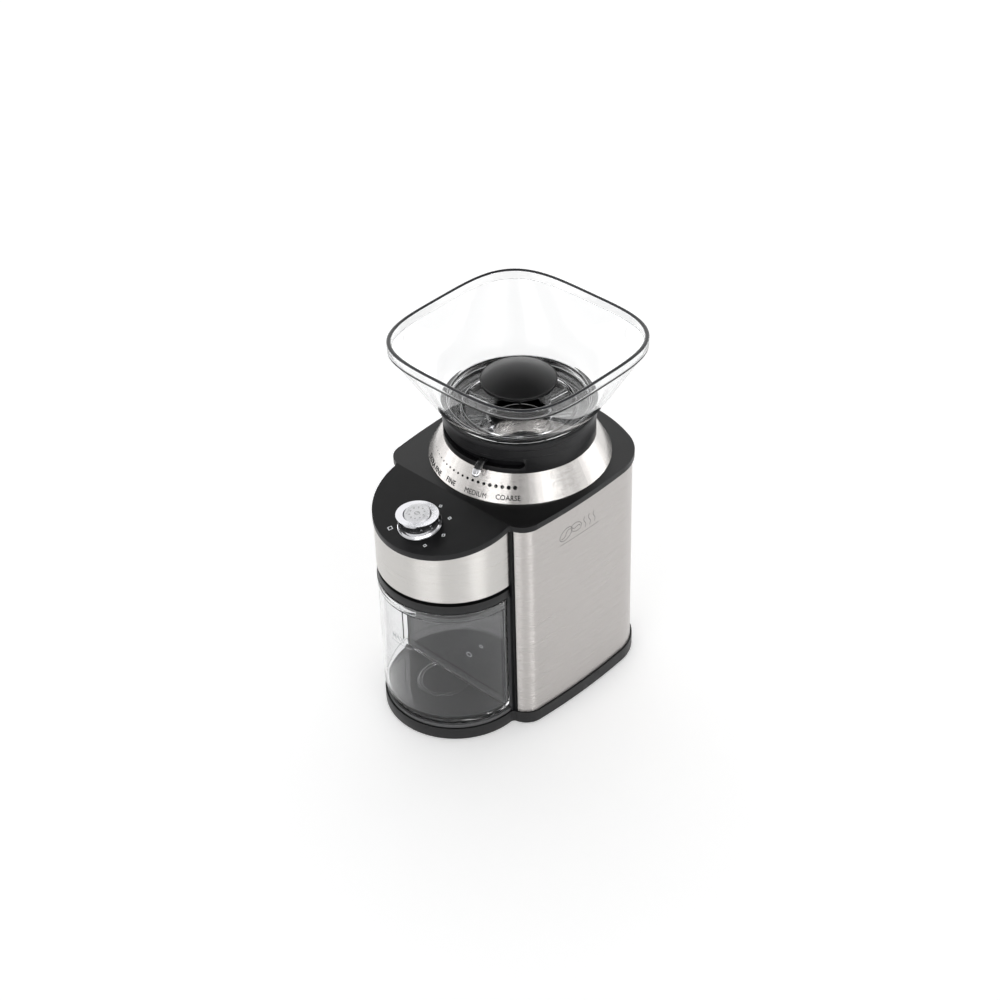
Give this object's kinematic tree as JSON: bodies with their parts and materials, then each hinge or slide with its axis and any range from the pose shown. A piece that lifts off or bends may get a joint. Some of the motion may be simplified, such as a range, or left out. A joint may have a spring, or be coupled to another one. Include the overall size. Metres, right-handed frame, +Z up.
{
  "type": "burr coffee grinder",
  "caption": "Countertop burr coffee grinder with a clear flared hopper, a stepless-look grind dial and lever, a sloping control lobe and a slide-out grounds container.",
  "frame": {"origin": "on the surface the feet rest on, under the middle of the object's box", "axes": "+Z up, -Y towards the controls and the grounds container, +X to the right when seen from the front with the hopper up"},
  "size_m": [0.1432, 0.1876, 0.2572],
  "materials": {
    "black_plastic": "fine moulded grain",
    "satin_black": "satin, very fine grain",
    "dark_plastic": "dark grey, smooth",
    "guard_black": "matte black",
    "rubber_feet": "matte",
    "brushed_steel": "fine horizontal brushing",
    "dial_steel": "circular brushing",
    "screw_steel": "zinc plated",
    "bearing_steel": "ground",
    "burr_steel": "hardened, machined",
    "motor_steel": "plated sheet",
    "spring_steel": "drawn wire",
    "chrome_trim": "bright",
    "chrome_button": "satin",
    "clear_plastic": "clear, polished",
    "cast_alloy": "as cast",
    "brass_pinion": "machined",
    "gear_nylon": "natural nylon",
    "circuit_board": "solder mask",
    "relay_case": "moulded"
  },
  "bodies": {
    "housing": {"base_plate": "black_plastic", "feet": "rubber_feet", "base_screws": "screw_steel", "steel_wrap": "brushed_steel", "front_wall": "dark_plastic", "lobe_housing": "dark_plastic", "front_band": "brushed_steel", "top_cover": "satin_black", "dial_ring": "dial_steel", "hopper_collar": "satin_black", "timer_switch": "dark_plastic", "start_switch": "dark_plastic", "button_spring": "spring_steel", "control_board": "circuit_board", "power_board": "circuit_board", "power_relay": "relay_case", "hopper_switch": "dark_plastic", "support_posts": "black_plastic", "gearbox_housing": "cast_alloy", "gearbox_lid": "cast_alloy", "gearbox_screws": "screw_steel", "grinding_chamber": "cast_alloy", "grounds_chute": "black_plastic", "motor_case": "motor_steel", "motor_end_cap": "black_plastic", "motor_screws": "screw_steel", "idler_pin": "screw_steel", "lower_bearing": "bearing_steel", "upper_bearing": "bearing_steel", "cord_gland": "rubber_feet"},
    "timer_dial": {"timer_knob": "chrome_trim"},
    "start_key": {"start_button": "chrome_button"},
    "grind_adjuster": {"adjusting_ring": "black_plastic", "grind_lever": "satin_black", "lever_tip": "chrome_trim"},
    "upper_grinder": {"upper_burr_carrier": "black_plastic", "upper_burr": "burr_steel", "upper_burr_screws": "screw_steel"},
    "hopper_unit": {"hopper": "clear_plastic", "bean_guard": "guard_black"},
    "burr_drive": {"drive_shaft": "bearing_steel", "drive_gear": "gear_nylon", "burr_rotor": "cast_alloy", "lower_burr": "burr_steel", "burr_washer": "screw_steel", "burr_nut": "screw_steel"},
    "idler": {"idler_gear": "gear_nylon"},
    "motor_rotor": {"motor_armature": "motor_steel", "motor_pinion": "brass_pinion"},
    "container_unit": {"grounds_container": "clear_plastic", "container_lid": "dark_plastic"}
  },
  "joints": [
    {"name": "timer_turn", "type": "hinge", "parent": "housing", "child": "timer_dial", "pos_m": [0.001, -0.07146, 0.16176], "axis": [0, -0.2055, 0.9787], "range_deg": [-142, 85]},
    {"name": "start_press", "type": "slide", "parent": "timer_dial", "child": "start_key", "axis": [0, 0.2055, -0.9787], "range_m": [0, 0.0012], "stiffness_N_per_m": 400, "springref_m": -0.003, "deforming": ["button_spring"]},
    {"name": "grind_set", "type": "hinge", "parent": "housing", "child": "grind_adjuster", "pos_m": [0, 0.0234, 0.19], "axis": [0, 0, 1], "range_deg": [-47.5, 25.5]},
    {"name": "upper_burr_lift", "type": "slide", "parent": "housing", "child": "upper_grinder", "axis": [0, 0, 1], "range_m": [-0.00098, 0.00052]},
    {"name": "hopper_lift", "type": "slide", "parent": "housing", "child": "hopper_unit", "axis": [0, 0, 1], "range_m": [0, 0.08]},
    {"name": "motor_spin", "type": "hinge", "parent": "housing", "child": "motor_rotor", "pos_m": [0, 0.0535, 0.057], "axis": [0, 0, 1], "continuous": true},
    {"name": "idler_spin", "type": "hinge", "parent": "housing", "child": "idler", "pos_m": [-0.03, 0.0535, 0.11], "axis": [0, 0, 1], "continuous": true},
    {"name": "burr_spin", "type": "hinge", "parent": "housing", "child": "burr_drive", "pos_m": [0, 0.0234, 0.13], "axis": [0, 0, 1], "continuous": true},
    {"name": "container_slide", "type": "slide", "parent": "housing", "child": "container_unit", "axis": [0, -1, 0], "range_m": [0, 0.12]}
  ],
  "couplings": [
    {"joint": "upper_burr_lift", "follows": "grind_set", "m_per_rad": 0.0011757},
    {"joint": "idler_spin", "follows": "motor_spin", "ratio": -0.30435},
    {"joint": "burr_spin", "follows": "motor_spin", "ratio": 0.078905}
  ]
}
